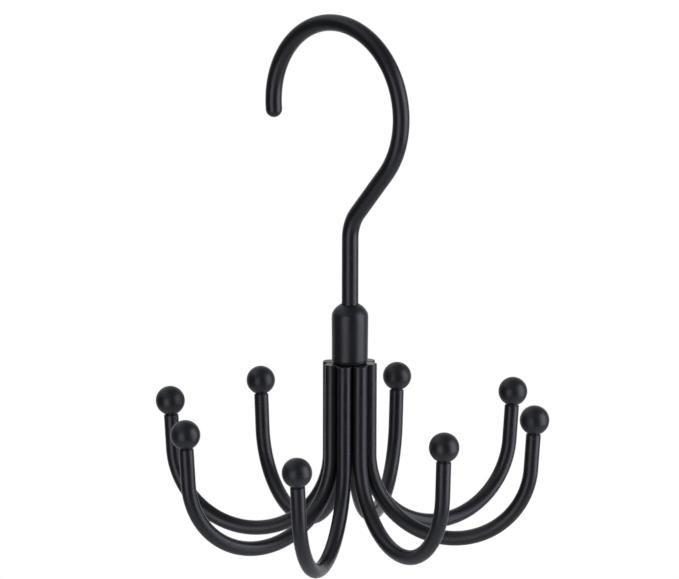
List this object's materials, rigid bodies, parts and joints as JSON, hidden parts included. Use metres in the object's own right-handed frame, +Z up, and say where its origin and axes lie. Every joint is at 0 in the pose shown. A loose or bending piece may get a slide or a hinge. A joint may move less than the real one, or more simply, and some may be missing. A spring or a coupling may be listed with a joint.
{
  "type": "belt hanger",
  "caption": "Hanger for belts, ties and scarves: a bent wire hook goes over a rail, and a ring of ball-tipped J hooks turns below it on a swivel.",
  "frame": {"origin": "on the swivel axis, at the inner face of the hanging hook, where it bears on the rail", "axes": "+Z up along the swivel axis. The hook lies in the XZ plane: it kicks out towards +X and its mouth is towards -X. A rail through it runs along Y."},
  "size_m": [0.1445, 0.1449, 0.2015],
  "materials": {
    "hook_coat": "satin black powder coat on steel wire",
    "cap_coat": "satin black powder coat on turned steel",
    "core_coat": "satin black powder coat on turned steel",
    "arm_coat": "satin black powder coat on steel wire",
    "ball_coat": "satin black powder coat on steel",
    "washer_plate": "zinc plated"
  },
  "bodies": {
    "hook": {"hanging_hook": "hook_coat"},
    "hanger": {"swivel_cap": "cap_coat", "swivel_washer": "washer_plate", "core_post": "core_coat", "arm_1": "arm_coat", "arm_2": "arm_coat", "arm_3": "arm_coat", "arm_4": "arm_coat", "arm_5": "arm_coat", "arm_6": "arm_coat", "arm_7": "arm_coat", "arm_8": "arm_coat", "ball_1": "ball_coat", "ball_2": "ball_coat", "ball_3": "ball_coat", "ball_4": "ball_coat", "ball_5": "ball_coat", "ball_6": "ball_coat", "ball_7": "ball_coat", "ball_8": "ball_coat"}
  },
  "joints": [
    {"name": "swivel", "type": "hinge", "parent": "hook", "child": "hanger", "pos_m": [0, 0, -0.10056], "axis": [0, 0, 1], "continuous": true}
  ]
}
